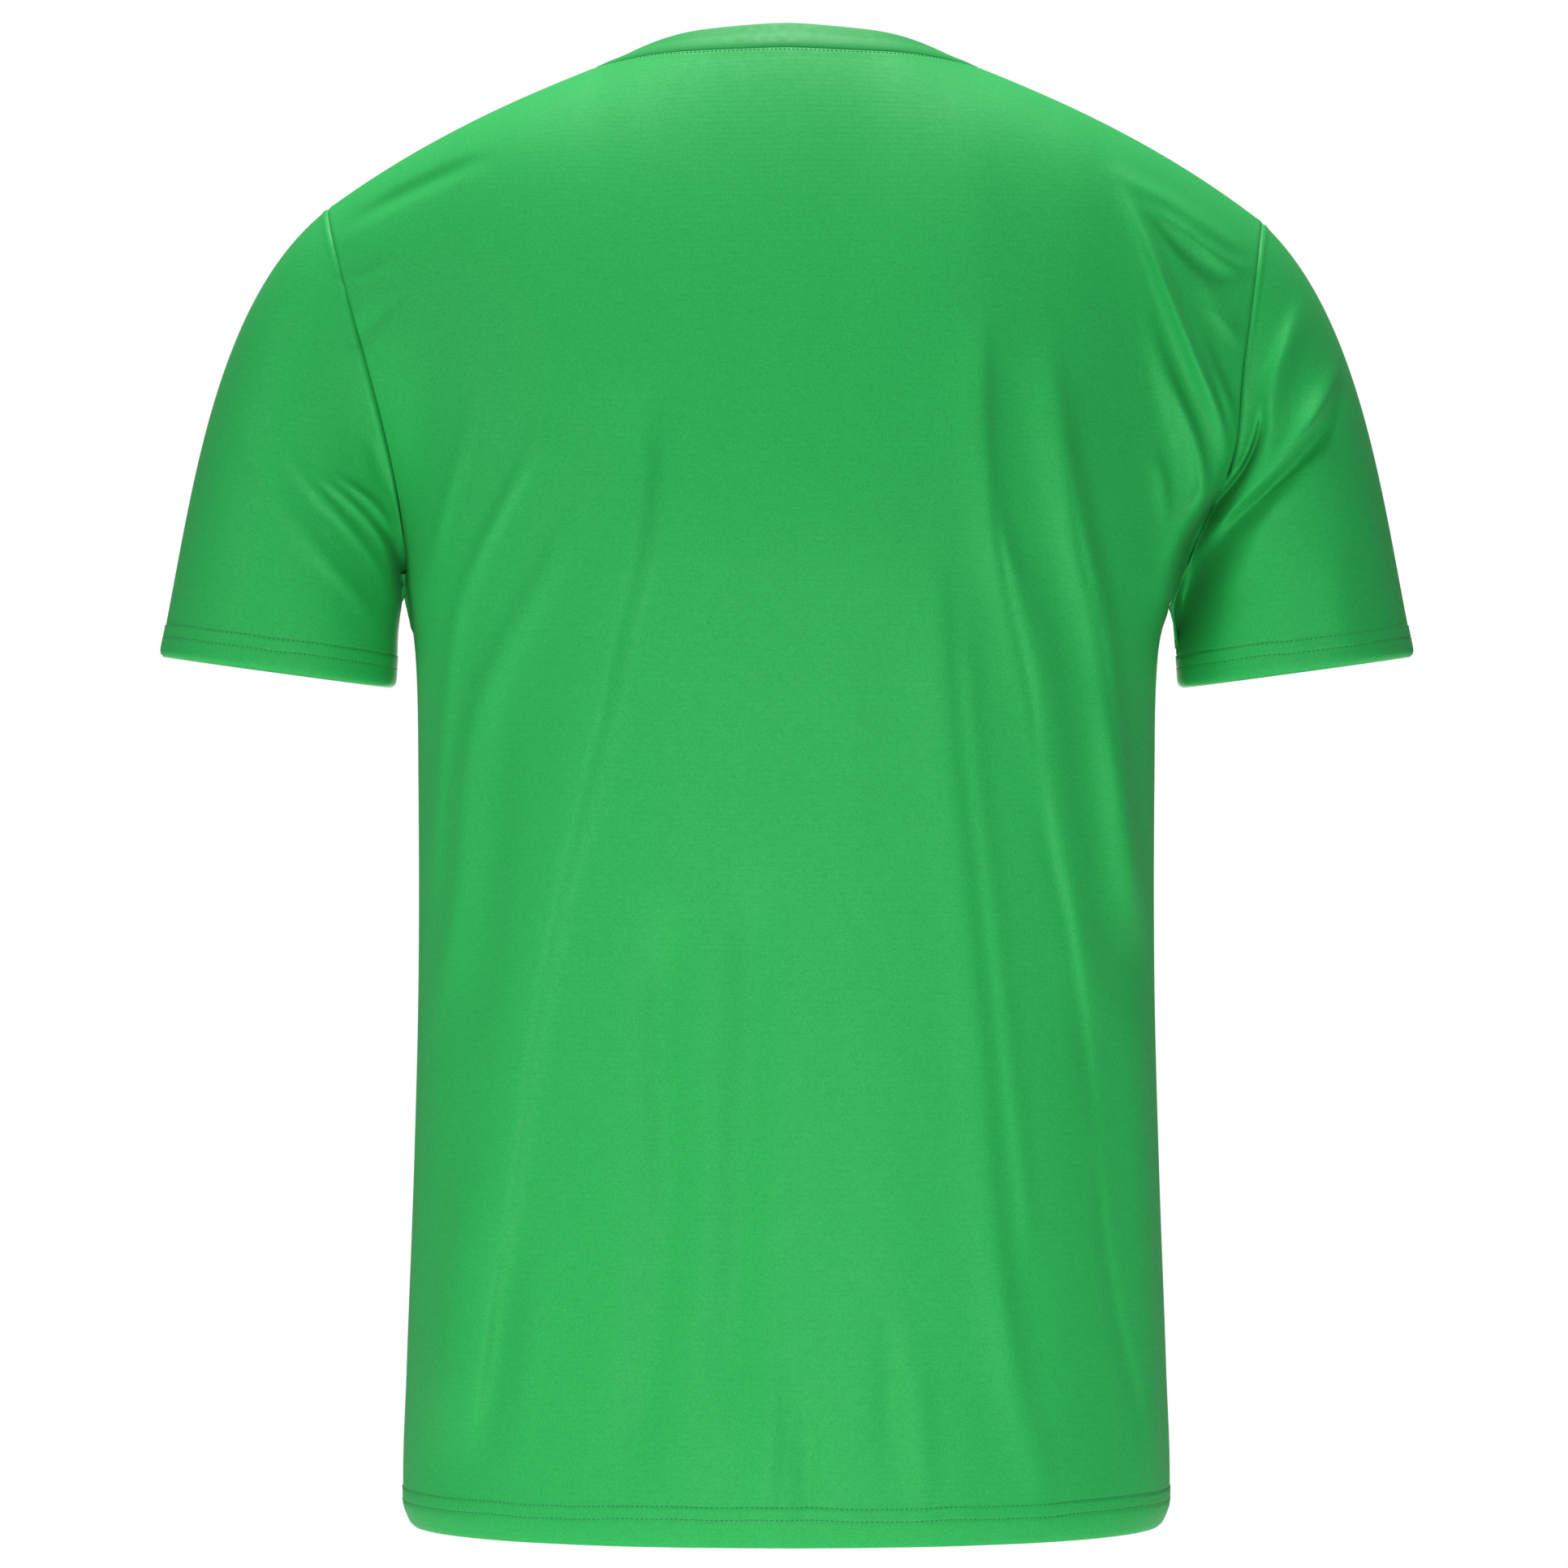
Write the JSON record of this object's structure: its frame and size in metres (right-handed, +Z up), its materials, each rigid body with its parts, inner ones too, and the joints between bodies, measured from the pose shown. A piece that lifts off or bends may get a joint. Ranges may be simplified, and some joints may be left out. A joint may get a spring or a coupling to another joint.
{
  "type": "performance t-shirt",
  "caption": "Plain knit sports t-shirt with crew neck and short set-in sleeves, filled out as when it is worn, hollow and open at neck, cuffs and hem.",
  "frame": {"origin": "midway between the two high shoulder points, where the shoulder seams meet the neckband", "axes": "+Z up the body, -Y the front, +Y the back, +X the wearer's left"},
  "size_m": [0.6162, 0.248, 0.7355],
  "materials": {
    "jersey": "soft satin knit",
    "neckband_knit": "soft satin fine rib"
  },
  "bodies": {
    "root": {"back_panel": "jersey", "front_panel": "jersey", "left_sleeve": "jersey", "right_sleeve": "jersey", "neckband": "neckband_knit"}
  },
  "joints": []
}
